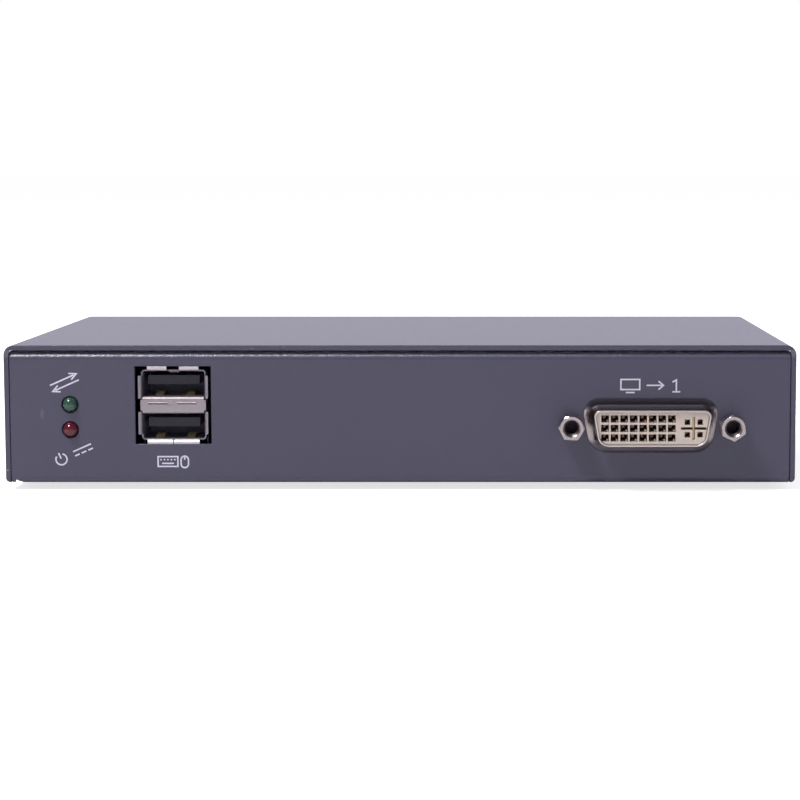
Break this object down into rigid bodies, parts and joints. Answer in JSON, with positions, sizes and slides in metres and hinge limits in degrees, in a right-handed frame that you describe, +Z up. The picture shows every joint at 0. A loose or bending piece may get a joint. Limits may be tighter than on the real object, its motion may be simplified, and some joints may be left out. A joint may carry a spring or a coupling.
{
  "type": "kvm fibre extender",
  "caption": "Flat sheet-metal receiver box with stacked keyboard and mouse sockets, a video socket, two status lights and a plug-in fibre module.",
  "frame": {"origin": "middle of the bounding box in X and Y, on the surface that the rubber feet stand on", "axes": "+X to the right seen from the front, +Y from the front panel to the back panel, +Z up"},
  "size_m": [0.16, 0.1075, 0.0295],
  "materials": {
    "case_paint": "fine-texture powder coat",
    "black_screw": "black zinc",
    "rubber": "matt moulded rubber",
    "zinc_steel": "bright zinc plating",
    "board": "solder mask over glass laminate",
    "nickel_shell": "drawn steel, nickel plated",
    "tin_sheet": "tin-plated sheet",
    "cream_plastic": "moulded, off-white",
    "gold_contact": "flash gold over bronze",
    "black_plastic": "moulded, black",
    "green_lens": "clear epoxy, tinted green",
    "red_lens": "clear epoxy, tinted red",
    "zinc_casting": "die-cast zinc, nickel plated",
    "ceramic": "ground zirconia",
    "wire": "stainless spring wire",
    "chip": "moulded epoxy",
    "pad": "soft silicone pad",
    "black_aluminium": "black anodised",
    "can_aluminium": "drawn can"
  },
  "bodies": {
    "case": {"chassis": "case_paint", "cover": "case_paint", "cover_screws": "black_screw", "rubber_feet": "rubber", "standoffs": "zinc_steel", "main_board": "board", "board_screws": "zinc_steel", "dvi_hood": "nickel_shell", "dvi_insulator": "cream_plastic", "dvi_contacts": "gold_contact", "dvi_cross_blade": "gold_contact", "dvi_rear_shield": "tin_sheet", "dvi_nuts": "zinc_steel", "dvi_jackscrews": "nickel_shell", "usb_shell": "tin_sheet", "usb_bridge": "tin_sheet", "usb_housing": "black_plastic", "usb_contacts": "gold_contact", "usb_fingers": "gold_contact", "link_light": "green_lens", "power_light": "red_lens", "light_leads": "zinc_steel", "light_holder": "black_plastic", "fibre_cage": "tin_sheet", "cage_latch_spring": "tin_sheet", "cage_gasket": "tin_sheet", "host_connector": "black_plastic", "power_inlet": "black_plastic", "inlet_pin": "nickel_shell", "inlet_spring": "gold_contact", "inlet_terminals": "zinc_steel", "processor_chip": "chip", "thermal_pad": "pad", "heat_sink": "black_aluminium", "memory_chips": "chip", "video_chip": "chip", "hub_chip": "chip", "crystals": "nickel_shell", "power_coils": "chip", "capacitors": "can_aluminium", "capacitor_bases": "black_plastic", "regulators": "chip"},
    "fibre_module": {"module_body": "zinc_casting", "module_nose": "zinc_casting", "module_sleeves": "ceramic", "module_optics": "gold_contact", "module_board": "board"},
    "bail": {"module_bail": "wire"},
    "rocker": {"module_rocker": "zinc_casting"}
  },
  "joints": [
    {"name": "module_slide", "type": "slide", "parent": "case", "child": "fibre_module", "axis": [0, 1, 0], "range_m": [0, 0.05], "deforming": ["cage_latch_spring"]},
    {"name": "bail_swing", "type": "hinge", "parent": "fibre_module", "child": "bail", "pos_m": [0.026, 0.05215, 0.01125], "axis": [-1, 0, 0], "range_deg": [0, 90]},
    {"name": "rocker_tilt", "type": "hinge", "parent": "fibre_module", "child": "rocker", "pos_m": [0.026, 0.04525, 0.01025], "axis": [-1, 0, 0], "range_deg": [0, 4]}
  ],
  "couplings": [
    {"joint": "rocker_tilt", "follows": "bail_swing", "ratio": 0.0444}
  ]
}
